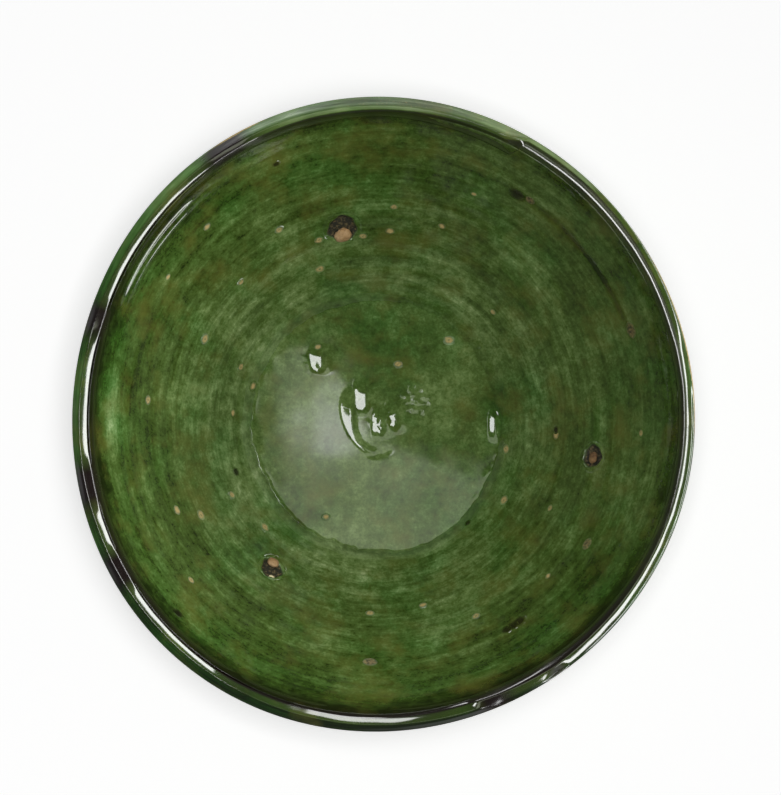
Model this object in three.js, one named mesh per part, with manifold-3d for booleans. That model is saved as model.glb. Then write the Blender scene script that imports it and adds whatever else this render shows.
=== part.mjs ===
// A wheel-thrown earthenware bowl with a green glaze.
// The shell is thrown, a foot ring and a rim coil are luted on to it, and it is glazed inside, over the rim
// and outside. In the kiln it stood against a stilt with three points, whose broken tips stay in the glaze.
// Millimetres, +Z up. The origin is on the table, under the middle of the foot.

import * as THREE from "three";
import { mergeVertices } from "three/addons/utils/BufferGeometryUtils.js";
import Module from "manifold-3d";

const wasm = await Module();
wasm.setup();

// Overall
const RIM_DIAMETER = 250; // over the glaze, before the rim went out of round
const HEIGHT = 92; // from the table to the crest of the glazed rim

// Thrown shell
const WALL = 5.6;
const FLOOR = 8;
const FLOOR_DIAMETER = 106; // the flat inside the bowl
const FLOOR_EDGE_SLOPE = 36; // degrees, at which the wall leaves the floor
const WALL_START_PULL = 29; // how far the wall holds that slope
const LIP_SLOPE = 60; // degrees, at which the wall reaches the lip
const WALL_END_PULL = 30; // how far below the lip it takes that slope
const BOSS_DIAMETER = 24; // the swirl that the fingers left in the middle of the floor
const BOSS_RISE = 2.2;

// Foot ring
const FOOT_INSET = 3; // of its outer edge at the table, from the edge of the floor above
const FOOT_HEIGHT = 8.5;
const FOOT_WIDTH = 10; // of the ring, at the table
const FOOT_SPLAY = 2.5; // how much each side widens towards the floor
const FOOT_CHAMFER = 1;

// Rim coil
const COIL_WIDTH = 6.6;
const COIL_HEIGHT = 6;
const LAP_ANGLE = 64; // degrees round the rim, where the two ends of the coil meet
const LAP_SLANT = 50; // degrees from upright, of the cut between the two ends

// Glaze and joints
const GLAZE = 0.8;
const SEAT_GAP = 0.3; // slip between two pieces that are seated on each other

// Kiln stilt
const STILT_RADIUS = 80; // from the middle of the stilt to each of its three points
const STILT_X = 10.3; // the stilt stood a little off the middle of the bowl
const STILT_Y = 1.3;
const STILT_TURN = 108; // degrees round the stilt to the first point
const WAD_DIAMETERS = [8, 5.4, 6]; // what each point left behind
const WAD_PROUD = 1.2; // above the glaze
const WAD_SHOULDER = 0.4; // how far above the glaze a tip stays straight-sided
const WAD_ROOT = 3; // how far a tip is drawn into the wall before it is trimmed to the clay

// Out of round, as far as the rim moved while the clay was wet
const OVAL = 1.45; // half the difference between the long and the short radius
const OVAL_ANGLE = 81.5; // degrees to the long axis
const LOBE = 0.95; // three shallow corners
const LOBE_ANGLE = -12.6; // degrees to the first of them
const RIM_WAVE = 0.7; // rise and fall of the crest
const WAVE_ANGLE = 35; // degrees to the first rise

// Fineness of the mesh
const AROUND = 48;
const WALL_STEPS = 9;
const BOSS_STEPS = 3;
const CROWN_STEPS = 6;
const WAD_SIDES = 14;
const WAD_CROWN_STEPS = 3;
const OUTLINE_SAMPLES = 360;

// Colours
const GLAZE_GREEN = "#405427";
const RIM_GREEN = "#2f4a2c";
const BARE_CLAY = "#b5835c";
const STILT_CLAY = "#b9946e";

// Places worked out from the sizes, as a half section: radius from the axis, height above the table.
const rimRadius = RIM_DIAMETER / 2;
const coat = SEAT_GAP + GLAZE;
const coilOuter = rimRadius - coat;
const coilInner = coilOuter - COIL_WIDTH;
const coilMiddle = (coilInner + coilOuter) / 2;
const coilSeat = HEIGHT - coat - COIL_HEIGHT;
const lipHeight = coilSeat - SEAT_GAP;
const lipSlope = THREE.MathUtils.degToRad(LIP_SLOPE);
const lipWidth = WALL / Math.sin(lipSlope); // of the lip, cut level
const lipInner = coilMiddle - lipWidth / 2;
const floorUnder = FOOT_HEIGHT + SEAT_GAP;
const floorTop = floorUnder + FLOOR;
const footOuter = FLOOR_DIAMETER / 2 - FOOT_INSET;
const footInner = footOuter - FOOT_WIDTH;

// A station is a point of the half section with the direction in which a coat on it grows.
const station = (at, out) => ({ at, out: out.clone() });
const layer = (stations, depth) => stations.map(({ at, out }) => at.clone().addScaledVector(out, depth));
const shell = (stations, from, to) => [...layer(stations, from), ...layer(stations, to).reverse()];

// The inner face of the wall, from the edge of the floor to the lip. The lip and the coats on it end level.
function wallStations() {
  const slope = THREE.MathUtils.degToRad(FLOOR_EDGE_SLOPE);
  const start = new THREE.Vector2(FLOOR_DIAMETER / 2, floorTop);
  const end = new THREE.Vector2(lipInner, lipHeight);
  const curve = new THREE.CubicBezierCurve(
    start,
    new THREE.Vector2(Math.cos(slope), Math.sin(slope)).multiplyScalar(WALL_START_PULL).add(start),
    new THREE.Vector2(Math.cos(lipSlope), Math.sin(lipSlope)).multiplyScalar(-WALL_END_PULL).add(end),
    end,
  );
  const shares = Array.from({ length: WALL_STEPS + 1 }, (_, i) => i / WALL_STEPS);
  const stations = shares.map((share) => {
    const along = curve.getTangent(share);
    return station(curve.getPoint(share), new THREE.Vector2(-along.y, along.x));
  });
  stations.at(-1).out.set(-1 / Math.sin(lipSlope), 0);
  return stations;
}

// The whole inner face: the swirl, the flat of the floor and the wall.
function insideStations(wall) {
  const up = new THREE.Vector2(0, 1);
  const swirl = Array.from({ length: BOSS_STEPS + 1 }, (_, i) => {
    const share = i / BOSS_STEPS;
    const rise = (BOSS_RISE * (1 + Math.cos(Math.PI * share))) / 2;
    return station(new THREE.Vector2((share * BOSS_DIAMETER) / 2, floorTop + rise), up);
  });
  const edge = wall[0];
  const mitre = edge.out.clone().add(up);
  mitre.divideScalar(1 + edge.out.dot(up));
  return [...swirl, station(edge.at, mitre), ...wall.slice(1)];
}

// The coil's section from its inner foot, over its round crown, to its outer foot.
function coilStations() {
  const halfWidth = COIL_WIDTH / 2;
  const shoulder = coilSeat + COIL_HEIGHT - halfWidth;
  const crown = Array.from({ length: CROWN_STEPS + 1 }, (_, i) => {
    const turn = Math.PI * (1 - i / CROWN_STEPS);
    const out = new THREE.Vector2(Math.cos(turn), Math.sin(turn));
    return station(new THREE.Vector2(coilMiddle, shoulder).addScaledVector(out, halfWidth), out);
  });
  return [
    station(new THREE.Vector2(coilInner, coilSeat), new THREE.Vector2(-1, 0)),
    ...crown,
    station(new THREE.Vector2(coilOuter, coilSeat), new THREE.Vector2(1, 0)),
  ];
}

// A closed half section turned once round the axis. It may start and end on the axis.
function turned(section) {
  const outward = THREE.ShapeUtils.area(section) > 0 ? section : [...section].reverse();
  const onAxis = outward[0].x === 0 && outward.at(-1).x === 0;
  const closed = onAxis ? outward : [...outward, outward[0]];
  return new THREE.LatheGeometry(closed, AROUND).rotateX(Math.PI / 2);
}

function solidOf(geometry) {
  const bare = geometry.clone();
  bare.deleteAttribute("normal");
  bare.deleteAttribute("uv");
  const merged = mergeVertices(bare);
  const vertProperties = merged.attributes.position.array;
  const triVerts = new Uint32Array(merged.index.array);
  return new wasm.Manifold(new wasm.Mesh({ numProp: 3, vertProperties, triVerts }));
}

function geometryOf(solid) {
  const { vertProperties, triVerts } = solid.getMesh();
  const geometry = new THREE.BufferGeometry();
  geometry.setAttribute("position", new THREE.BufferAttribute(vertProperties, 3));
  geometry.setIndex(new THREE.BufferAttribute(triVerts, 1));
  return geometry;
}

// How far the rim stands out of the round at an angle.
function outOfRound(angle) {
  const oval = OVAL * Math.cos(2 * (angle - THREE.MathUtils.degToRad(OVAL_ANGLE)));
  const lobes = LOBE * Math.cos(3 * (angle - THREE.MathUtils.degToRad(LOBE_ANGLE)));
  return oval + lobes;
}

// The middle of the box round the rim's outline, which lies over the middle of the foot.
function outlineMiddle() {
  const box = new THREE.Box2();
  for (let i = 0; i < OUTLINE_SAMPLES; i++) {
    const angle = (2 * Math.PI * i) / OUTLINE_SAMPLES;
    const radius = rimRadius + outOfRound(angle);
    box.expandByPoint(new THREE.Vector2(Math.cos(angle), Math.sin(angle)).multiplyScalar(radius));
  }
  return box.getCenter(new THREE.Vector2());
}

// Pulls a round piece into the shape that the wet bowl took. The foot stays true and the rim moves most.
function handMade(geometry) {
  const drift = outlineMiddle();
  const wave = THREE.MathUtils.degToRad(WAVE_ANGLE);
  const position = geometry.getAttribute("position");
  const point = new THREE.Vector3();
  for (let i = 0; i < position.count; i++) {
    point.fromBufferAttribute(position, i);
    const angle = Math.atan2(point.y, point.x);
    const share = THREE.MathUtils.clamp((point.z - FOOT_HEIGHT) / (HEIGHT - FOOT_HEIGHT), 0, 1);
    const reach = Math.hypot(point.x, point.y) / rimRadius;
    const swell = share * reach * outOfRound(angle);
    point.x += swell * Math.cos(angle) - share * drift.x;
    point.y += swell * Math.sin(angle) - share * drift.y;
    point.z += share * reach * RIM_WAVE * Math.cos(2 * (angle - wave));
    position.setXYZ(i, point.x, point.y, point.z);
  }
  geometry.computeVertexNormals();
  return geometry;
}

// Where a stilt point met the inner face: the place in space and the direction straight out of the wall.
function stiltSpot(index, inside) {
  const turn = THREE.MathUtils.degToRad(STILT_TURN + (360 * index) / WAD_DIAMETERS.length);
  const x = STILT_X + STILT_RADIUS * Math.cos(turn);
  const y = STILT_Y + STILT_RADIUS * Math.sin(turn);
  const radius = Math.hypot(x, y);
  const next = inside.findIndex(({ at }) => at.x >= radius);
  const [low, high] = [inside[next - 1], inside[next]];
  const share = (radius - low.at.x) / (high.at.x - low.at.x);
  const height = THREE.MathUtils.lerp(low.at.y, high.at.y, share);
  const lean = low.out.clone().lerp(high.out, share).normalize();
  const out = new THREE.Vector3((lean.x * x) / radius, (lean.x * y) / radius, lean.y);
  return { at: new THREE.Vector3(x, y, height), out };
}

// Stands a piece made along +Z on a stilt spot.
function stoodOn(spot, geometry) {
  const turn = new THREE.Quaternion().setFromUnitVectors(new THREE.Vector3(0, 0, 1), spot.out);
  return geometry.applyQuaternion(turn).translate(...spot.at);
}

function wadTip(diameter) {
  const radius = diameter / 2;
  const top = coat + WAD_PROUD;
  const shoulder = coat + WAD_SHOULDER;
  const section = new THREE.Path().moveTo(0, -WAD_ROOT).lineTo(radius, -WAD_ROOT).lineTo(radius, shoulder);
  section.quadraticCurveTo(radius, top, 0, top);
  return new THREE.LatheGeometry(section.getPoints(WAD_CROWN_STEPS), WAD_SIDES).rotateX(Math.PI / 2);
}

function wadHole(diameter) {
  const reach = 2 * (WAD_ROOT + coat);
  const radius = diameter / 2 + SEAT_GAP;
  return new THREE.CylinderGeometry(radius, radius, reach, WAD_SIDES).rotateX(Math.PI / 2);
}

// The thin slanted cut that parts the two ends of the coil.
function lapCut() {
  const reach = 3 * Math.max(COIL_WIDTH, COIL_HEIGHT);
  const cut = new THREE.BoxGeometry(reach, SEAT_GAP, reach);
  cut.rotateX(THREE.MathUtils.degToRad(LAP_SLANT));
  cut.translate(coilMiddle, 0, coilSeat + COIL_HEIGHT / 2);
  return cut.rotateZ(THREE.MathUtils.degToRad(LAP_ANGLE));
}

function footSection() {
  return [
    new THREE.Vector2(footInner + FOOT_CHAMFER, 0),
    new THREE.Vector2(footOuter - FOOT_CHAMFER, 0),
    new THREE.Vector2(footOuter, FOOT_CHAMFER),
    new THREE.Vector2(footOuter + FOOT_SPLAY, FOOT_HEIGHT),
    new THREE.Vector2(footInner - FOOT_SPLAY, FOOT_HEIGHT),
    new THREE.Vector2(footInner, FOOT_CHAMFER),
  ];
}

function claySection(inside, wall) {
  return [
    ...layer(inside, 0),
    ...layer(wall, -WALL).reverse(),
    new THREE.Vector2(footOuter + FOOT_SPLAY, floorUnder),
    new THREE.Vector2(0, floorUnder),
  ];
}

// The room in the bowl that a coat or a wad may fill, down to the slip on the clay.
function roomInside(inside) {
  return solidOf(turned([...layer(inside, SEAT_GAP), new THREE.Vector2(0, lipHeight)]));
}

function finish(color, roughness) {
  return new THREE.MeshStandardMaterial({ color, roughness, metalness: 0 });
}

const bowl = new THREE.Group();
bowl.name = "bowl";

function addPiece(name, geometry, material) {
  const mesh = new THREE.Mesh(handMade(geometry), material);
  mesh.name = name;
  bowl.add(mesh);
}

const wall = wallStations();
const inside = insideStations(wall);
const coil = coilStations();
const spots = WAD_DIAMETERS.map((_, i) => stiltSpot(i, inside));
const bareClay = finish(BARE_CLAY, 0.9);
const glaze = finish(GLAZE_GREEN, 0.15);

addPiece("foot_ring", turned(footSection()), bareClay);
addPiece("clay_bowl", turned(claySection(inside, wall)), bareClay);
addPiece("rim_coil", geometryOf(solidOf(turned(layer(coil, 0))).subtract(solidOf(lapCut()))), bareClay);
addPiece("rim_glaze", turned(shell(coil, SEAT_GAP, coat)), finish(RIM_GREEN, 0.1));
addPiece("outside_glaze", turned(shell(wall, -WALL - SEAT_GAP, -WALL - coat)), glaze);

const holes = spots.map((spot, i) => solidOf(stoodOn(spot, wadHole(WAD_DIAMETERS[i]))));
const wholeCoat = solidOf(turned(shell(inside, SEAT_GAP, coat)));
const insideCoat = holes.reduce((coated, hole) => coated.subtract(hole), wholeCoat);
addPiece("inside_glaze", geometryOf(insideCoat), glaze);

const room = roomInside(inside);
const stiltClay = finish(STILT_CLAY, 0.95);
spots.forEach((spot, i) => {
  const tip = solidOf(stoodOn(spot, wadTip(WAD_DIAMETERS[i])));
  addPiece(`stilt_wad_${i + 1}`, geometryOf(tip.intersect(room)), stiltClay);
});

export default bowl;
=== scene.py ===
"""The looks of a wheel-thrown earthenware bowl with a green glaze, seen from above on a white table.

Sizes are in millimetres where they are named, and go through MM to metres.
Angles are in degrees round the bowl, from +X towards +Y.
"""

import math

import bpy
import numpy as np
from mathutils import Matrix, Vector, noise
from mathutils.bvhtree import BVHTree


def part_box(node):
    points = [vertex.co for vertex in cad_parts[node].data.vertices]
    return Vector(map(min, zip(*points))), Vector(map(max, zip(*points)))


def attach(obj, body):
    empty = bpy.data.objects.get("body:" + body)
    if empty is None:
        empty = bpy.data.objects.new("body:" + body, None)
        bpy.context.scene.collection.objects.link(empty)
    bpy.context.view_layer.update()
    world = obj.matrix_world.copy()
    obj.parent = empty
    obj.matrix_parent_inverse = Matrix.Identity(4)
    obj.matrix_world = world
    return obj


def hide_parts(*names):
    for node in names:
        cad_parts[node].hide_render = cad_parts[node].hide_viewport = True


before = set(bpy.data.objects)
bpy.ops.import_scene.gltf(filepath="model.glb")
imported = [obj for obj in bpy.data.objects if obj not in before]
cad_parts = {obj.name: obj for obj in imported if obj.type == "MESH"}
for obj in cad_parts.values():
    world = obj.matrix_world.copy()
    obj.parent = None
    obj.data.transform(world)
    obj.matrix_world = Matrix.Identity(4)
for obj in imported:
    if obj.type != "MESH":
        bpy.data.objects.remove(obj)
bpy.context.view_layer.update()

MM = 0.001
TURN = 2 * math.pi
WELD = 0.001 * MM

# The bowl's section, as the solids have it
RIM_RADIUS = 125.0
HEIGHT = 92.0
WALL = 5.6
FLOOR_RADIUS = 53.0
FLOOR_TOP = 16.8
FLOOR_EDGE_SLOPE = 36.0
LIP_SLOPE = 60.0
WALL_START_PULL = 29.0
WALL_END_PULL = 30.0
LIP_INNER = 117.37
LIP_HEIGHT = 84.6
COAT = 1.1
FOOT_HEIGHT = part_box("foot_ring")[1].z / MM
FOOT_TOP_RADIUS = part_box("foot_ring")[1].x / MM

# How far the rim is out of round, as in the solids
OVAL, OVAL_ANGLE = 1.45, 81.5
LOBE, LOBE_ANGLE = 0.95, -12.6
RIM_WAVE, WAVE_ANGLE = 0.7, 35.0

# The photograph's frame, and where its camera stood
PHOTO_WIDTH, PHOTO_HEIGHT = 781, 795
SENSOR = 36.0
RIM_LEVEL = 91.5
RIM_MM_PER_PIXEL = 0.3985
CAMERA_AT = Vector((-67.4, -99.5, 1391.5)) * MM
CAMERA_TARGET = Vector((2.02, 5.49, RIM_LEVEL)) * MM


# Shared helpers


def linear(hex_colour):
    """An sRGB hex colour as linear RGBA."""
    parts = [int(hex_colour[i : i + 2], 16) / 255 for i in (1, 3, 5)]
    return [c / 12.92 if c <= 0.04045 else ((c + 0.055) / 1.055) ** 2.4 for c in parts] + [1.0]


def smooth(low, high, value):
    """0 below low, 1 above high, and an S-curve between."""
    share = np.clip((np.asarray(value, float) - low) / (high - low), 0, 1)
    return share * share * (3 - 2 * share)


def between(value, start, full, fade, end):
    """0 before start, 1 from full to fade and 0 again after end, with S-curves between."""
    return smooth(start, full, value) * (1 - smooth(fade, end, value))


def bell(value, centre, width):
    """1 at the centre, falling away over about a width on both sides."""
    return np.exp(-(((value - centre) / width) ** 2))


def bump_at(angle, centre, half_width):
    """1 at an angle round the bowl, falling to 0 at half_width degrees on both sides."""
    away = np.abs((np.degrees(angle) - centre + 180) % 360 - 180)
    return 1 - smooth(0, half_width, away)


def stretch_at(angle, centre, half_width):
    """The same, but 1 over the middle half."""
    return np.clip(2 * bump_at(angle, centre, half_width), 0, 1)


def grain(points, size):
    """Smooth noise from -1 to 1 at each point, with lumps of about the given size."""
    return np.array([noise.noise(Vector(p) / size) for p in points])


def ring_grain(angle, across, turns, size, seed=0.0):
    """Noise in long marks that run round the bowl: a few turns' worth of change, and narrow across."""
    points = np.column_stack([turns * np.cos(angle) + seed, turns * np.sin(angle), across / size])
    return grain(points, 1.0)


def round_grain(angle, turns, seed=0.0):
    """Noise that changes round the bowl alone."""
    return ring_grain(angle, 0 * angle, turns, 1.0, seed)


def out_of_round(angle):
    oval = OVAL * np.cos(2 * (angle - math.radians(OVAL_ANGLE)))
    return oval + LOBE * np.cos(3 * (angle - math.radians(LOBE_ANGLE)))


def outline_middle():
    """The middle of the box round the rim's outline, which lies over the middle of the foot."""
    angle = np.linspace(0, TURN, 360, endpoint=False)
    reach = RIM_RADIUS + out_of_round(angle)
    x, y = reach * np.cos(angle), reach * np.sin(angle)
    return (x.min() + x.max()) / 2, (y.min() + y.max()) / 2


def hand_made(radius, angle, height):
    """Points of the round bowl, moved as the wet clay moved. Returns coordinates in metres."""
    share = np.clip((height - FOOT_HEIGHT) / (HEIGHT - FOOT_HEIGHT), 0, 1)
    reach = radius / RIM_RADIUS
    drift_x, drift_y = outline_middle()
    swollen = radius + share * reach * out_of_round(angle)
    x = swollen * np.cos(angle) - share * drift_x
    y = swollen * np.sin(angle) - share * drift_y
    z = height + share * reach * RIM_WAVE * np.cos(2 * (angle - math.radians(WAVE_ANGLE)))
    return np.column_stack([x, y, z]) * MM


def aimed(degrees):
    """A unit step at an angle over level, in a section's plane. Points there are radius + 1j * height."""
    return np.exp(1j * np.radians(degrees))


def curve(t, start, first, last, end):
    """Points on a cubic curve in a section's plane."""
    return (1 - t) ** 3 * start + 3 * t * (1 - t) ** 2 * first + 3 * t**2 * (1 - t) * last + t**3 * end


def wall_points(offset, count=160):
    """The wall's section, moved off the clay's inner face by an offset: radius and height."""
    start, end = FLOOR_RADIUS + 1j * FLOOR_TOP, LIP_INNER + 1j * LIP_HEIGHT
    first = start + WALL_START_PULL * aimed(FLOOR_EDGE_SLOPE)
    last = end - WALL_END_PULL * aimed(LIP_SLOPE)
    t = np.linspace(0, 1, count)
    along = (1 - t) ** 2 * (first - start) + 2 * t * (1 - t) * (last - first) + t**2 * (end - last)
    at = curve(t, start, first, last, end) + offset * 1j * along / np.abs(along)
    return np.column_stack([at.real, at.imag])


def inside_section():
    """Radius and height of the glazed inner face, with the floor's edge rounded."""
    step, blur = 0.1, 0.15
    wall = wall_points(COAT)
    radius = np.arange(0, wall[-1, 0], step)
    height = np.interp(radius, wall[:, 0], wall[:, 1])
    height = np.where(radius < wall[0, 0], FLOOR_TOP + COAT, height)
    half = int(3 * blur / step)
    kernel = bell(np.arange(-half, half + 1) * step, 0, blur)
    padded = np.pad(height, half, mode="reflect", reflect_type="odd")
    return radius, np.convolve(padded, kernel / kernel.sum(), "valid")


INSIDE_RADIUS, INSIDE_HEIGHT = inside_section()
CREASE_RADIUS = wall_points(COAT)[0, 0]


def inside_height(radius):
    """Height of the inner face, carried on straight past the lip."""
    over = np.maximum(radius - INSIDE_RADIUS[-1], 0)
    return np.interp(radius, INSIDE_RADIUS, INSIDE_HEIGHT) + over * math.tan(math.radians(LIP_SLOPE))


def inside_slope(radius):
    step = 0.5
    return (inside_height(radius + step) - inside_height(np.abs(radius - step))) / (2 * step)


def photo_axes():
    forward = (CAMERA_TARGET - CAMERA_AT).normalized()
    right = forward.cross(Vector((0, 1, 0))).normalized()
    return right, right.cross(forward), forward


def focal_pixels():
    return (CAMERA_TARGET - CAMERA_AT).length / (RIM_MM_PER_PIXEL * MM)


def sight(pixel):
    """The direction in which a pixel of the photograph looks."""
    right, up, forward = photo_axes()
    across, down = pixel[0] - PHOTO_WIDTH / 2, pixel[1] - PHOTO_HEIGHT / 2
    return (right * across - up * down + forward * focal_pixels()).normalized()


def oval_section(radius, height, half_width, half_height, count):
    """A closed oval to turn on the wheel."""
    turns = np.linspace(0, TURN, count, endpoint=False)
    return [(radius + half_width * math.sin(t), height - half_height * math.cos(t)) for t in turns]


def fresh(name, primitive, **settings):
    """A new primitive at the origin, the only thing selected."""
    bpy.ops.object.select_all(action="DESELECT")
    primitive(location=(0, 0, 0), **settings)
    piece = bpy.context.object
    piece.name = piece.data.name = name
    return piece


def spun(name, section, steps):
    """A piece turned on the wheel from (radius, height) points. The section starts and ends on the axis, or
    else it is closed. Each vertex keeps its place along it in the attribute 'row'."""
    piece = fresh(name, bpy.ops.mesh.primitive_plane_add, size=1)
    bpy.ops.object.mode_set(mode="EDIT")
    bpy.ops.mesh.select_all(action="SELECT")
    bpy.ops.mesh.merge(type="CENTER")
    points = [Vector((r * MM, 0, h * MM)) for r, h in section]
    bpy.ops.transform.translate(value=points[0])
    for before, after in zip(points, points[1:]):
        bpy.ops.mesh.extrude_region_move(TRANSFORM_OT_translate={"value": after - before})
    if section[0][0] > 0:
        bpy.ops.mesh.select_all(action="SELECT")
        bpy.ops.mesh.edge_face_add()
        bpy.ops.mesh.delete(type="ONLY_FACE")
    bpy.ops.object.mode_set(mode="OBJECT")
    row = piece.data.attributes.new("row", "FLOAT", "POINT")
    row.data.foreach_set("value", np.arange(len(points), dtype=np.float32))
    wheel = piece.modifiers.new("wheel", "SCREW")
    wheel.steps = wheel.render_steps = steps
    wheel.use_merge_vertices = True
    wheel.merge_threshold = WELD
    bpy.ops.object.modifier_apply(modifier=wheel.name)
    bpy.ops.object.mode_set(mode="EDIT")
    bpy.ops.mesh.select_all(action="SELECT")
    bpy.ops.mesh.remove_doubles(threshold=WELD)
    bpy.ops.mesh.normals_make_consistent(inside=False)
    bpy.ops.object.mode_set(mode="OBJECT")
    bpy.ops.object.shade_smooth()
    return piece


def places(piece):
    """Radius, angle and height of each vertex, and its place along the section."""
    co = np.zeros(len(piece.data.vertices) * 3)
    piece.data.vertices.foreach_get("co", co)
    co = co.reshape(-1, 3) / MM
    row = np.zeros(len(co), np.float32)
    piece.data.attributes["row"].data.foreach_get("value", row)
    return np.hypot(co[:, 0], co[:, 1]), np.arctan2(co[:, 1], co[:, 0]), co[:, 2], row


def put(piece, points, **attributes):
    """Moves the vertices and keeps named values on them for the material to read."""
    piece.data.vertices.foreach_set("co", points.astype(np.float32).ravel())
    for name, values in attributes.items():
        kept = piece.data.attributes.new(name, "FLOAT", "POINT")
        kept.data.foreach_set("value", np.broadcast_to(values, len(points)).astype(np.float32))
    if "row" in piece.data.attributes:
        piece.data.attributes.remove(piece.data.attributes["row"])
    piece.data.update()


def settle(piece, node, material):
    """Gives a piece its finish, hangs it on the root body and hides the solid that it stands for."""
    piece.data.materials.clear()
    piece.data.materials.append(material)
    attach(piece, "root")
    if node:
        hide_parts(node)


# Materials


def add(tree, kind, inputs=None, out=0, stops=None, **settings):
    """Adds a node with its settings, sets or links its inputs, and gives one of its outputs.
    Stops are the (place, hex colour) pairs of a colour ramp."""
    made = tree.nodes.new("ShaderNode" + kind)
    for key, value in settings.items():
        setattr(made, key, value)
    for key, value in (inputs or {}).items():
        if isinstance(value, bpy.types.NodeSocket):
            tree.links.new(value, made.inputs[key])
        else:
            made.inputs[key].default_value = value
    for i, (place, colour) in enumerate(stops or []):
        elements = made.color_ramp.elements
        element = elements[i] if i < 2 else elements.new(place)
        element.position = place
        element.color = linear(colour)
    return made.outputs[out] if made.outputs else made


def cleared(owner):
    """The empty node tree of a new material, lamp or world."""
    owner.use_nodes = True
    owner.node_tree.nodes.clear()
    return owner.node_tree


# What a glazed piece's vertices say: how thick, burnt, bare, blue and dull the glaze is, with painted shade
# and painted light mixed into how thick and how burnt
GLAZE_VALUES = ("pool", "soot", "bare", "copper", "rough")

# From thin glaze to thick: the two ends first, then the steps between
GLAZE_STOPS = [
    (0.00, "#96a475"),
    (1.00, "#141c06"),
    (0.20, "#6d824e"),
    (0.38, "#546936"),
    (0.52, "#435826"),
    (0.70, "#334418"),
]
POOLED_BLACK_AND_SHADE = "#130b09"
BARE_SPOT = "#a8935f"
OLIVE = "#5b5a26"

# The radii between which the brush marks of the wall set in
BRUSHED_FROM, BRUSHED_TO = 50.0, 62.0


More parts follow.
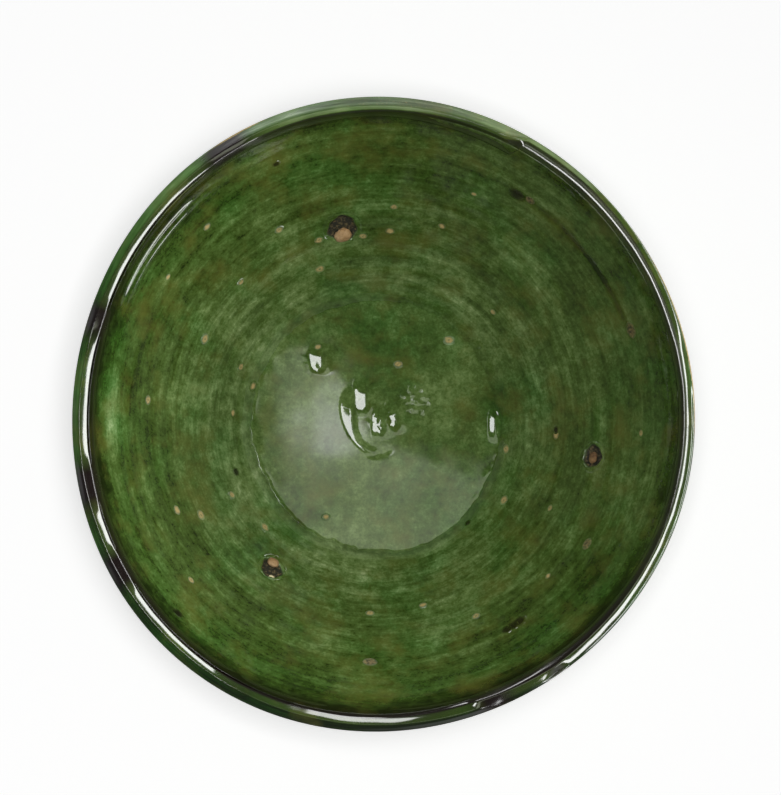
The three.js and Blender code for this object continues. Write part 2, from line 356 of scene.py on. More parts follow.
def green_glaze(name, ior, brushed):
    """Lead glaze stained with copper over earthenware, brushed on and fired: a glassy skin, dark where it
    pooled, pale where it ran thin over the throwing rings, with dark dust and patches of bluer green. The
    values on the vertices also carry painted shade and painted light. Brushed says how strongly the marks of
    the brush and the fingers show."""
    material = bpy.data.materials.new(name)
    tree = cleared(material)
    place = add(tree, "TexCoord", out="Object")
    level = add(tree, "VectorMath", {0: place, 1: (1, 1, 0)}, operation="MULTIPLY")
    radius = add(tree, "VectorMath", {0: level}, out="Value", operation="LENGTH")
    towards = add(tree, "VectorMath", {0: level}, operation="NORMALIZE")
    setting_in = {"From Min": BRUSHED_FROM * MM, "From Max": BRUSHED_TO * MM, "To Max": brushed}
    wall = add(tree, "MapRange", {"Value": radius, **setting_in})
    kept = {word: add(tree, "Attribute", out="Fac", attribute_name=word) for word in GLAZE_VALUES}

    def round_the_bowl(turns, width_mm):
        """Coordinates that run round the bowl: long marks, a given width apart along the radius."""
        across = add(tree, "Math", {0: radius, 1: 1 / (width_mm * MM)}, operation="MULTIPLY")
        stretched = add(tree, "VectorMath", {0: towards, "Scale": turns}, operation="SCALE")
        return add(tree, "VectorMath", {0: stretched, 1: add(tree, "CombineXYZ", {"Z": across})})

    # Brush streaks and finer hairs on the wall, broad patches, a mottle of a few millimetres, and dark dust:
    # each with its coordinates, scale, detail and roughness
    layers = {}
    for word, vector, scale, detail, rough in [
        ("streaks", round_the_bowl(6.0, 3.0), 1.0, 4.0, 0.6),
        ("hairs", round_the_bowl(12.0, 1.0), 1.0, 3.0, 0.6),
        ("arcs", round_the_bowl(2.4, 1.0), 1.0, 2.0, 0.5),
        ("patches", place, 1 / (24 * MM), 3.0, 0.55),
        ("mottle", place, 1 / (4 * MM), 8.0, 0.75),
        ("dust", place, 1 / (2.2 * MM), 2.0, 0.5),
        ("grit", place, 1 / (1.1 * MM), 3.0, 0.6),
        ("olive", place, 1 / (17 * MM), 4.0, 0.6),
        ("copper", place, 1 / (30 * MM), 4.0, 0.6),
    ]:
        cloud = {"Vector": vector, "Scale": scale, "Detail": detail, "Roughness": rough}
        layers[word] = add(tree, "TexNoise", cloud)

    # How thick the glaze lies, painted shade and painted light included: what the vertices say, with each
    # layer's weight and where it counts
    thick = kept["pool"]
    for word, weight, where in [
        ("streaks", 0.36, wall), ("hairs", 0.28, wall), ("arcs", 0.36, wall), ("patches", 0.75, 1.0),
        ("grit", 0.35 * brushed, 1.0), ("mottle", 0.2 + 0.9 * brushed, 1.0),
    ]:
        centred = add(tree, "Math", {0: layers[word], 1: 0.5}, operation="SUBTRACT")
        local = add(tree, "Math", {0: centred, 1: where}, operation="MULTIPLY")
        thick = add(tree, "Math", {0: local, 1: weight, 2: thick}, operation="MULTIPLY_ADD")
    dusty = {"Value": layers["dust"], "From Min": 0.6, "From Max": 0.8, "To Max": 0.09 * brushed}
    thick = add(tree, "Math", {0: add(tree, "MapRange", dusty), 1: thick}, operation="ADD")
    body = add(tree, "ValToRGB", {"Fac": thick}, stops=GLAZE_STOPS)

    # Bluer patches, olive patches, burnt runs and painted shade, and clay that shows through with a ragged
    # edge
    blue_patch = {"Value": layers["copper"], "From Min": 0.47, "From Max": 0.7, "To Max": 0.5}
    copper = add(tree, "Math", {0: add(tree, "MapRange", blue_patch), 1: kept["copper"]}, operation="ADD")
    bluer = add(tree, "HueSaturation", {"Hue": 0.555, "Saturation": 1.08, "Color": body})
    olive_patch = {"Value": layers["olive"], "From Min": 0.5, "From Max": 0.75, "To Max": 0.6}
    olive = add(tree, "MapRange", olive_patch)
    ragged = add(tree, "Math", {0: layers["grit"], 1: 0.9, 2: kept["bare"]}, operation="MULTIPLY_ADD")
    ragged = add(tree, "MapRange", {"Value": ragged, "From Min": 0.72, "From Max": 1.15, "To Max": 0.9})
    colour = body
    for share, over in [
        (copper, bluer),
        (olive, linear(OLIVE)),
        (kept["soot"], linear(POOLED_BLACK_AND_SHADE)),
        (ragged, linear(BARE_SPOT)),
    ]:
        colour = add(tree, "Mix", {0: share, 6: colour, 7: over}, out=2, data_type="RGBA")

    ripple = layers["streaks"]
    for word in ("hairs", "mottle"):
        ripple = add(tree, "Math", {0: layers[word], 1: 0.5, 2: ripple}, operation="MULTIPLY_ADD")
    strength = add(tree, "Math", {0: wall, 1: 0.12}, operation="MULTIPLY")
    relief = add(tree, "Bump", {"Strength": strength, "Distance": 0.12 * MM, "Height": ripple})
    gloss = {"Value": layers["mottle"], "From Min": 0.3, "From Max": 0.75, "To Min": 0.03, "To Max": 0.07}
    dull = add(tree, "MapRange", gloss)
    dull = add(tree, "Math", {0: kept["bare"], 1: 0.5, 2: dull}, operation="MULTIPLY_ADD")
    dull = add(tree, "Math", {0: dull, 1: kept["rough"]}, operation="ADD")
    glass = {"Base Color": colour, "Roughness": dull, "Normal": relief, "IOR": ior}
    add(tree, "OutputMaterial", {"Surface": add(tree, "BsdfPrincipled", glass)})
    return material


CLAY_CLOUD, SAND_GRAIN, CLAY_PITS = 9.0, 1.1, 0.15


def bare_clay(name, pale, mid, dark):
    """Fired earthenware left unglazed: a dry, open body with sand grains and smears from the turning."""
    material = bpy.data.materials.new(name)
    tree = cleared(material)
    place = add(tree, "TexCoord", out="Object")
    cloudy = {"Vector": place, "Scale": 1 / (CLAY_CLOUD * MM), "Detail": 6.0, "Roughness": 0.62}
    cloud = add(tree, "TexNoise", cloudy)
    colour = add(tree, "ValToRGB", {"Fac": cloud}, stops=[(0.28, dark), (0.72, pale), (0.5, mid)])
    sand = add(tree, "TexVoronoi", {"Vector": place, "Scale": 1 / (SAND_GRAIN * MM)})
    speck = add(tree, "MapRange", {"Value": sand, "From Min": 0.3, "From Max": 0.1, "To Max": 0.35})
    gritty = add(tree, "Mix", {0: speck, 6: colour, 7: linear(dark)}, out=2, data_type="RGBA")
    relief = add(tree, "Bump", {"Strength": 0.5, "Distance": CLAY_PITS * MM, "Height": cloud})
    dry = {"Base Color": gritty, "Roughness": 0.85, "Normal": relief, "IOR": 1.45}
    add(tree, "OutputMaterial", {"Surface": add(tree, "BsdfPrincipled", dry)})
    return material


# Inside glaze

# The stilt's tips, the scars that they left, and a chip beside one of them, with pixels of the photograph
STILT_NODES = ["stilt_wad_1", "stilt_wad_2", "stilt_wad_3"]
WAD_RADII = [3.7, 2.6, 2.4]
SCAR_PIXELS = [(342.5, 228.5), (592.5, 456), (272, 568)]
SCAR_RADII = [6.3, 4.8, 4.8]
SCAR_DEPTH = 2.6
CHIP_PIXEL, CHIP_RADIUS = (272.5, 577), 1.5

# Rows of the inner face, closer near the floor's edge and the rim, and of the back of its coat
FACE_OVERLAP = 2.6
CLOSE_ZONE = 7.0
CLOSE_ROWS, WIDE_ROWS = 0.75, 1.2
BACK_ROWS, BACK_DEPTH = 14, 3.2
INSIDE_STEPS = 480

# The throwing ridges, and lumps as (size, height on the floor, on the wall, at the floor's edge)
RING_HEIGHT = 0.13
LUMPS = [(30, 0.03, 0.2, 0), (9, 0.012, 0.1, 0), (6, 0, 0, 0.1)]
SCRATCH_DEPTH = 0.25
LEDGE_HEIGHT = 0.8

# How the floor's edge wanders: how far, turns' worth of change, seed, and the width over which it fades
FLOOR_WARPS = [(2.6, 1.3, 4.0, 14), (0.8, 4.0, 11.0, 14), (0.7, 10.0, 17.0, 3), (0.4, 24.0, 23.0, 3)]

# The finger swirl
SWIRL_AT = (-1.4, 2.8)
SWIRL_REACH = 12.3
SWIRL_DRAWN_OUT = 1.45
RIDGE_FACING = 207.0
FOLD_SLOPE = 0.235

# Round the swirl. Folds: x where they start, width, y and half length. Crumbs: x, y, radius, height, grain
FLOOR_FOLDS = [
    (-26.5, 5.4, 24.5, 6.5), (49.0, 3.2, -2.0, 8.5), (-8.0, 5.2, 8.6, 8.0), (-0.4, 4.4, -1.8, 6.8),
    (5.0, 4.8, 0.4, 7.0),
]
FLOOR_CRUMBS = [(4.0, -0.6, 7.0, 0.12, 1.8), (18.5, 7.5, 9, 0.1, 1.7), (-24, 24, 8, 0.05, 2.6)]

# How thick the glaze lies on the floor, and the radius of the strip under the lip that carries a painted
# sheen and bluer copper
FLOOR_POOL = 0.48
UNDER_LIP = 110.5


def throwing_rings(radius, angle):
    """Ridges that the fingers left as the wheel turned. They come and go round the bowl."""
    wander = 1.6 * ring_grain(angle, radius, turns=1.2, size=40.0, seed=9.0)
    broad = ring_grain(angle, radius + wander, turns=0.9, size=3.6)
    fine = ring_grain(angle, radius - wander, turns=1.6, size=1.7, seed=5.0)
    return broad + 0.35 * fine


def floor_ring(radius, angle):
    """The groove and the ridge where the floor meets the wall, on the wall's side of the crease alone. They
    are broken here and there, and deepest on the lower left."""
    broken = np.clip(0.6 + 1.2 * round_grain(angle, turns=5.0, seed=31.0), 0.15, 1.2)
    depth = broken * (0.25 + 0.5 * bump_at(angle, 240, 120))
    at = radius - FLOOR_RADIUS - 0.8 * np.sin(angle + 0.6)
    groove = 0.35 * bell(at, 3.2, 1.3) - 0.4 * bell(at, 0, 1.2)
    return depth * groove * smooth(CREASE_RADIUS - 0.1, CREASE_RADIUS + 0.7, radius)


def floor_warp(radius, angle):
    """How far the floor's edge wanders in and out, broadly and in small ragged steps."""
    return sum(
        far * round_grain(angle, turns, seed) * bell(radius, FLOOR_RADIUS, fade)
        for far, turns, seed, fade in FLOOR_WARPS
    )


def swirl(x, y):
    """The finger swirl in the middle of the floor: a ridge round its left side with an even flank, a groove
    under it, and folds and crumbs of slip."""
    away, round_it = np.hypot(x, y), np.arctan2(y, x)
    facing = math.radians(RIDGE_FACING)
    aside = y * math.cos(facing) - x * math.sin(facing)
    oval = np.sqrt(np.maximum(away**2 - aside**2, 0) + (aside / SWIRL_DRAWN_OUT) ** 2)
    width = 1.2 + 3.0 * bump_at(round_it, 168, 85)
    steep = FOLD_SLOPE * (0.96 + 0.57 * (aside / np.maximum(away, 1)) ** 2)
    crest = SWIRL_REACH - width
    ridge = steep * np.clip(SWIRL_REACH - oval, 0, width) * smooth(crest - 1.5, crest - 0.1, oval)
    ridge = ridge * np.clip(2.5 * bump_at(round_it, RIDGE_FACING, 85), 0, 1)
    relief = ridge - 0.25 * bell(away, 15.4, 1.0) * bump_at(round_it, 282, 24)
    spots = np.column_stack([x, y, 0 * x])
    x, y = x + 0.6 * grain(spots, 6.0), y + 0.6 * grain(spots + 50, 6.0)
    for fold_x, width, fold_y, half in FLOOR_FOLDS:
        beyond = np.maximum(x - fold_x - width, 0)
        flank = FOLD_SLOPE * np.clip(x - fold_x, 0, width) * np.exp(-beyond / 1.2)
        relief += flank * (1 - smooth(0.2, 1.0, np.abs(y - fold_y) / half))
    for crumb_x, crumb_y, size, rise, fineness in FLOOR_CRUMBS:
        near = 1 - smooth(0.4 * size, size, np.hypot(x - crumb_x, y - crumb_y))
        relief += rise * near * grain(spots + size, fineness)
    return relief


def ledge(radius, angle):
    """A double line under the rim on the upper left, where the lip was folded over."""
    return (bell(radius, 114.9, 0.7) + 0.8 * bell(radius, 112.8, 0.7)) * stretch_at(angle, 144, 20)


def scratch(radius, angle):
    """A line scored under the rim on the upper right."""
    return bell(radius, 107.0, 0.9) * stretch_at(angle, 36, 26)


def scar_share(points, surface):
    """1 in the middle of a stilt scar, falling to 0 at its edge."""
    share = np.zeros(len(points))
    for pixel, size in zip(SCAR_PIXELS, SCAR_RADII):
        middle = surface.ray_cast(CAMERA_AT, sight(pixel))[0]
        away = np.linalg.norm(points - np.array(middle), axis=1) / MM
        share = np.maximum(share, 1 - smooth(size * 0.95, size * 1.2, away))
    return share


def inside_rows():
    """Radii of the rows of the inside glaze, closer at the floor and under the rim, and which row is the
    crease round the floor."""
    rows = [0.0]
    end = INSIDE_RADIUS[-1]
    while rows[-1] < end + FACE_OVERLAP:
        here = rows[-1]
        close = here < FLOOR_RADIUS + CLOSE_ZONE or here > end - CLOSE_ZONE
        step = CLOSE_ROWS if close else WIDE_ROWS
        rows.append(here + step / math.hypot(1, float(inside_slope(here))))
    crease = int(np.argmin(np.abs(np.array(rows) - CREASE_RADIUS)))
    rows[crease] = CREASE_RADIUS
    return rows, crease


def inside_finish(radius, angle, wall, rings, edge, bend):
    """How thick the inside glaze lies, how black and how blue it is, with painted shade and painted light
    mixed into the thickness and painted shade making the black.
    """
    x, y = radius * np.cos(angle) - SWIRL_AT[0], radius * np.sin(angle) - SWIRL_AT[1]
    lower_left = stretch_at(angle, 225, 130)
    # A painted sheen: the glaze is made paler on the left under the lip, standing in for a lamp's reflection
    painted_sheen = bump_at(angle, 183, 24) * bell(radius, UNDER_LIP, 2.8)
    # Painted shade at the foot of the rim's inner face, over glaze that pooled there: darker and blacker
    hem = smooth(114, 118, radius) * (0.5 + 0.5 * stretch_at(angle, 235, 125))
    patchy = np.clip(0.5 + 1.3 * ring_grain(angle, radius, turns=4.0, size=2.5, seed=37.0), 0, 1.2)
    pool = FLOOR_POOL
    for more, where in [
        # Painted shade up the wall and high on the lower left, and painted light low on the wall, evening
        # out how the lamps light it; darker low on the right
        (0.1, wall * smooth(80, 112, radius)),
        (-0.08, wall * (1 - smooth(62, 84, radius))),
        (0.1, wall * bump_at(angle, 355, 110) * (1 - smooth(76, 92, radius))),
        (0.085, lower_left * smooth(84, 98, radius)),
        # On the ridges, in the groove round the floor, and beside it at two sides
        (-0.16, wall * rings),
        (-0.5, edge),
        (0.15, bend * patchy * bump_at(angle, 45, 90)),
        (-0.14, bell(radius, 58, 6) * bump_at(angle, 225, 110)),
        # In the scored line, paler for a painted sheen under the lip, darker with painted shade over pooled
        # glaze at the rim's foot, and over slip at the swirl
        (0.4, scratch(radius, angle)),
        (-0.4, painted_sheen),
        (0.35, hem),
        (-0.2, bell(x, -5.1, 2.8) * bell(y, -4.2, 5.3)),
    ]:
        pool = pool + more * where
    return pool, 0.55 * hem**2, 0.25 * lower_left * (1 - painted_sheen) * bell(radius, UNDER_LIP, 4.5)


def make_inside_glaze(material):
    """The coat poured into the bowl. Gives its face as it was before the stilt tore it, and how thick the
    glaze lies on each polygon, painted shade and painted light included."""
    rows, crease_row = inside_rows()
    face = [(r, float(inside_height(r))) for r in rows]
    under = [float(r) for r in np.linspace(rows[-1], 0, BACK_ROWS)]
    back = [(r, float(inside_height(r) - BACK_DEPTH * np.hypot(1, inside_slope(r)))) for r in under]
    piece = spun("glaze_inside", face + back, INSIDE_STEPS)
    radius, angle, height, row = places(piece)
    front = row < len(rows) - 0.5
    slope = inside_slope(radius)
    lean = np.hypot(1, slope)
    edge = floor_ring(radius, angle)
    bend = bell(radius, FLOOR_RADIUS + 0.6, 2.4)
    foot_of_wall = bend * smooth(CREASE_RADIUS - 0.2, CREASE_RADIUS + 0.8, radius)

    radius = radius - floor_warp(radius, angle)
    points = hand_made(radius, angle, height)
    wall = smooth(FLOOR_RADIUS - 1, FLOOR_RADIUS + 9, radius)
    rings = throwing_rings(radius, angle)
    relief = RING_HEIGHT * wall * rings + edge
    relief += LEDGE_HEIGHT * ledge(radius, angle) - SCRATCH_DEPTH * scratch(radius, angle)
    relief += swirl(radius * np.cos(angle) - SWIRL_AT[0], radius * np.sin(angle) - SWIRL_AT[1])
    for size, on_floor, on_wall, on_bend in LUMPS:
        relief += (on_floor + on_wall * wall + on_bend * bend) * grain(points, size * MM)

    def pushed(depth):
        push = np.where(front, depth, 0)
        return hand_made(radius - push * slope / lean, angle, height + push / lean)

    pool, soot, copper = inside_finish(radius, angle, wall, rings, edge, bend)
    polygons = [list(polygon.vertices) for polygon in piece.data.polygons]
    surface = BVHTree.FromPolygons([Vector(p) for p in pushed(relief)], polygons)
    face_pool = [float(np.mean(pool[corners])) for corners in polygons]
    scoured = (1 - bump_at(angle, 40, 100)) * (1 - stretch_at(angle, 0, 10))
    put(
        piece,
        pushed(relief - SCAR_DEPTH * scar_share(points, surface)),
        pool=pool,
        soot=soot,
        bare=0,
        copper=copper,
        rough=0.9 * foot_of_wall * scoured,
    )
    ends = np.zeros(2 * len(piece.data.edges), int)
    piece.data.edges.foreach_get("vertices", ends)
    creased = np.all(np.abs(row[ends.reshape(-1, 2)] - crease_row) < 0.5, axis=1)
    piece.data.edges.foreach_set("use_edge_sharp", creased)
    settle(piece, "inside_glaze", material)
    return surface, face_pool


# Marks in the inside glaze, read off the photograph as pixels

TAN_SPECKS = [
    (168, 277), (241, 282), (320, 269), (207, 227), (279, 230), (394, 207), (390, 231), (205, 339),
    (148, 400), (233, 413), (241, 367), (318, 347), (253, 386), (319, 240), (363, 236), (474, 194),
    (493, 312), (449, 340), (442, 226), (398, 364), (232, 495), (177, 510), (201, 515), (265, 527),
    (326, 517), (191, 580), (641, 433), (556, 435), (506, 449), (476, 616), (548, 576), (550, 508),
    (504, 500), (423, 605), (370, 613),
]
BROWN_SPOTS = [(530, 200), (370, 662), (631, 330), (587, 544)]
GOUGES = [(507, 629.5), (519, 621.5), (517, 194), (513, 625.5)]
DARK_MARKS = [(468, 523), (276, 164), (178, 613), (556, 430), (236, 472)]

# Patches of glaze that carry the marks and the scars
DRAPE_HEIGHT = 6.0
PATCH_THICKNESS = 0.5
MARK_STRETCH = 1.3
SCAR_MARGIN, SCAR_CELLS = 1.35, 44


def speck_shape(reach, round_it):
    """A crumb of clay that shows through the glaze."""
    lift = 0.1 * (1 - smooth(0.5, 0.95, reach)) - 0.05
    bare, rough = 0.85 * (1 - smooth(0.05, 0.75, reach)), 0.5 * (1 - smooth(0.3, 0.7, reach))
    return lift, {"bare": bare, "rough": rough}


def pinhole_shape(reach, round_it):
    """A crumb that broke the glaze and left a pinhole."""
    lift, values = speck_shape(reach, round_it)
    hole = 1 - smooth(0.04, 0.22, reach)
    return lift, {**values, "bare": values["bare"] * (1 - 0.7 * hole), "soot": 0.5 * hole}


def brown_shape(reach, round_it):
    """A larger crumb, burnt brown."""
    lift, values = speck_shape(reach, round_it)
    burnt = 1 - smooth(0.2, 0.7, reach)
    return lift, {**values, "bare": 0.38 * (1 - smooth(0.4, 0.8, reach)), "soot": 0.9 * burnt}


def dark_shape(reach, round_it):
    """A dent where the glaze pooled dark."""
    dent = 1 - smooth(0.2, 0.8, reach)
    return 0.2 * (1 - smooth(0.6, 0.95, reach)) - 0.1, {"soot": 0.8 * dent, "pool": 0.3 * dent}


def scar_shape(reach, round_it):
    """The crater that a stilt's tip tore in the glaze, burnt dark, with painted shade of its depth over it.
    """
    wobble = reach * (1 + 0.07 * np.sin(3 * round_it + 0.7) + 0.04 * np.sin(7 * round_it))
    crater = 1 - smooth(0.54, 0.8, wobble)
    lift = 0.1 - 1.6 * crater - 0.2 * smooth(0.85, 1.0, reach)
    dark = smooth(0.1, 0.6, crater)
    return lift, {"soot": 0.94 * dark, "bare": 0.27 * dark, "rough": 0.6 * smooth(0.02, 0.3, crater)}


def draped(name, surface, face_pool, pixel, size, cells, shape, stretch=1.0):
    """A round patch of glaze laid on the inner face, with a relief and with values for the material."""
    middle, facing, face, away = surface.ray_cast(CAMERA_AT, sight(pixel))
    grid = {"x_subdivisions": cells, "y_subdivisions": cells, "size": 2}
    piece = fresh(name, bpy.ops.mesh.primitive_grid_add, **grid)
    square = np.array([tuple(v.co) for v in piece.data.vertices])
    x = square[:, 0] * np.sqrt(1 - square[:, 1] ** 2 / 2)
    y = square[:, 1] * np.sqrt(1 - square[:, 0] ** 2 / 2)
    lift, values = shape(np.hypot(x, y), np.arctan2(y, x))
    along = Vector((0, 0, 1)).cross(facing)
    along = along.normalized() if along.length > 0.05 else Vector((1, 0, 0))
    up = facing.cross(along)
    points, pools = [], []
    for i in range(len(x)):
        over = middle + (along * x[i] * stretch + up * y[i]) * size * MM + facing * DRAPE_HEIGHT * MM
        hit, normal, face, away = surface.ray_cast(over, -facing)
        points.append(hit + normal * lift[i] * MM)
        pools.append(face_pool[face])
    kept = {word: np.zeros(len(x)) for word in GLAZE_VALUES}
    kept.update(values)
    # The marks take the thickness of the glaze under them, painted shade and painted light included
    kept["pool"] = kept["pool"] + np.array(pools)
    put(piece, np.array([tuple(p) for p in points]), **kept)
    thickness = piece.modifiers.new("thickness", "SOLIDIFY")
    thickness.thickness = PATCH_THICKNESS * MM
    thickness.offset = -1
    bpy.ops.object.modifier_apply(modifier=thickness.name)
    bpy.ops.object.shade_smooth()
    return piece


def joined(name, pieces):
    bpy.ops.object.select_all(action="DESELECT")
    for piece in pieces:
        piece.select_set(True)
    bpy.context.view_layer.objects.active = pieces[0]
    bpy.ops.object.join()
    pieces[0].name = pieces[0].data.name = name
    return pieces[0]


def make_marks(surface, face_pool, material):
    """The specks, spots and dents of the inner face."""
    marks = []
    for pixels, size, cells, shape in [
        (TAN_SPECKS[::3], 2.4, 12, speck_shape),
        (TAN_SPECKS[1::3] + TAN_SPECKS[2::3], 2.6, 12, pinhole_shape),
        (BROWN_SPOTS, 4.0, 14, brown_shape),
        (GOUGES, 3.8, 14, dark_shape),
        (DARK_MARKS, 2.2, 12, dark_shape),
    ]:
        for i, pixel in enumerate(pixels):
            grown = size * (0.8 + 0.1 * (i * 7 % 5))
            marks.append(draped("mark", surface, face_pool, pixel, grown, cells, shape, MARK_STRETCH))
    settle(joined("glaze_marks", marks), None, material)


def make_scars(surface, face_pool, material):
    """The craters round the stilt tips."""
    scars = [
        draped("scar", surface, face_pool, pixel, size * SCAR_MARGIN, SCAR_CELLS, scar_shape)
        for pixel, size in zip(SCAR_PIXELS, SCAR_RADII)
    ]
    settle(joined("glaze_scars", scars), None, material)


WAD_FLATTENED = [1, 0.86, 0.55]
WAD_SUNK = 0.7


def make_stilt_wads(surface, material, chalky):
    """The broken tips of the stilt, rough lumps of clay left in the craters, and a chip beside one."""
    middles = [(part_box(node)[0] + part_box(node)[1]) / 2 for node in STILT_NODES]
    chip = surface.ray_cast(CAMERA_AT, sight(CHIP_PIXEL))[0]
    for node, spot, size in [*zip(STILT_NODES, middles, WAD_RADII), (None, chip, CHIP_RADIUS)]:
        middle, facing, face, away = surface.find_nearest(spot)
        name = (node or "stilt_chip") + "_lump"
        piece = fresh(name, bpy.ops.mesh.primitive_ico_sphere_add, subdivisions=4, radius=size * MM)
        co = np.array([tuple(v.co) for v in piece.data.vertices])
        rough = 1 + 0.16 * grain(co, 2.6 * MM) + 0.08 * grain(co, 0.9 * MM)
        turned = np.array(facing.to_track_quat("Z", "Y").to_matrix())
        lumpy = (co * rough[:, None] * WAD_FLATTENED) @ turned.T
        put(piece, lumpy + np.array(middle - facing * WAD_SUNK * MM))
        bpy.ops.object.shade_smooth()
        settle(piece, node, material if node else chalky)


# Rim glaze

# The roll's section goes up the side, over the shoulder, across the worn facet, down inside and back under
SIDE_END, SHOULDER_END, FACET_END, INNER_END, ROLL_ROWS = 8, 22, 30, 42, 48
ROLL_STEPS = 768
ROLL_RING = (120.6, 87.0, 4.0, 4.0)
ROLL_FOOT = 1.7 - 10.2j
ROLL_BELLY = -2.9
ROLL_PROUD = 0.75
ROLL_INNER_SLOPE = 62.0
FACET_BULGE = 0.04

# Dark runs, as (degrees, half width, strength), and how far they lean the facet
RIM_POOLS = [(121, 8, 1.0), (162, 5, 0.95), (194, 6.5, 1.0), (211, 6, 1.0), (304, 3, 0.6), (291, 6, 0.8)]
RUN_LEAN = 22.0

# Round the rim, as (degrees, value). The roll steps where its two ends are lapped, near 64 degrees.
# How far in from the edge the crest lies
CREST_IN = [
    (0, 2.8), (20, 2.3), (40, 1.5), (62, 1.6), (66, 4.8), (115, 4.8), (180, 4.2), (225, 4.6), (270, 3.8),
    (288, 3.6), (302, 2.4), (330, 2.4),
]
# How wide the roll is
ROLL_WIDTH = [
    (0, 6.8), (62.9, 6.6), (63.9, 9.6), (72, 9.0), (90, 7.8), (115, 8.2), (150, 9.0), (225, 9.2), (270, 8.8),
    (315, 7.2),
]
# How far its worn facet leans outward, half the facet's width, and the least slope of the brow beside it
FACET_LEAN = [
    (0, 37), (12, 36), (24, 12), (42, 8), (62, 8), (66, -24), (110, -26), (122, -36), (275, -37), (286, -24),
    (296, 34), (330, 38),
]
FACET_HALF = [
    (0, 1.0), (30, 0.6), (60, 0.5), (110, 0.7), (150, 1.1), (180, 1.5), (215, 1.3), (240, 1.0), (270, 1.2),
    (330, 1.2),
]
BROW = [(0, 29), (14, 24), (28, 12), (112, 12), (128, 29)]
# How thick the glaze lies on the outer side, and how blue the copper turned there
OUTER_POOL = [
    (0, 0.65), (38, 0.64), (50, 0.42), (62, 0.4), (75, 0.52), (95, 0.56), (108, 0.38), (132, 0.34),
    (150, 0.42), (166, 0.6), (173, 0.48), (180, 0.36), (187, 0.5), (195, 0.7), (225, 0.8), (242, 0.9),
    (256, 1.02), (290, 1.05), (303, 0.95), (316, 0.75),
]
OUTER_COPPER = [
    (0, 0.3), (45, 0.2), (90, 0.0), (112, 0.5), (132, 0.7), (180, 0.6), (225, 0.8), (270, 0.5), (315, 0.5),
]
INNER_POOL = 0.75

# The rows between which each finish of the roll sets in and fades
TOP_ROWS = (8, 20, 32, 42)
BLACK_ROWS = (6, 12, 38, 42)
TAN_ROWS = (4, 8, 9, 13)
FAR_TAN_ROWS = (4, 8, 20, 26)
WORN_AND_HIGHLIT_ROWS = (20, 23, 28, 33)
FAR_LINE_ROWS = (10, 13, 17, 21)
DULLED_ROWS = (29, 31, 33, 36)


def round_trip(angle, stops):
    """A value that goes round the rim through (degrees, value) stops."""
    degrees, values = zip(*stops)
    return np.interp(np.degrees(angle), degrees, values, period=360)


def roll_section(row, angle, wobble):
    """The roll's section: distance in from the outer edge, and height over the crest. The wobble turns its
    facet, in degrees."""
    crest, width = round_trip(angle, CREST_IN), round_trip(angle, ROLL_WIDTH)
    lean = round_trip(angle, FACET_LEAN) + wobble
    along = round_trip(angle, FACET_HALF) * aimed(lean)
    facet_out = crest - 1j * np.abs(along.imag) - along
    facet_in = facet_out + 2 * along
    brow = np.maximum(lean + 4, round_trip(angle, BROW))
    belly = 1j * ROLL_BELLY
    toe = width + 1j * (inside_height(RIM_RADIUS + ROLL_PROUD - width) - HEIGHT + 0.1)

    def share(start, end):
        return np.clip((row - start) / (end - start), 0, 1)

    up, over, across = share(0, SIDE_END), share(SIDE_END, SHOULDER_END), share(SHOULDER_END, FACET_END)
    down, under = share(FACET_END, INNER_END), share(INNER_END, ROLL_ROWS)
    bulge = FACET_BULGE * 4 * across * (1 - across) * 1j * aimed(lean)
    section = np.select(
        [row <= end for end in (SIDE_END, SHOULDER_END, FACET_END, INNER_END)],
        [
            curve(up, ROLL_FOOT, ROLL_FOOT - 0.9 + 1.6j, belly - 2.0j, belly),
            curve(over, belly, belly + 1.0 + 0.95j, facet_out - 1.5 * aimed(brow), facet_out),
            facet_out + 2 * across * along + bulge,
            curve(down, facet_in, facet_in + along, toe + 2.6 * aimed(180 - ROLL_INNER_SLOPE), toe),
        ],
        curve(under, toe, toe - 0.8 - 1.6j, ROLL_FOOT + 2.0 + 0.4j, ROLL_FOOT),
    )
    return section.real, section.imag


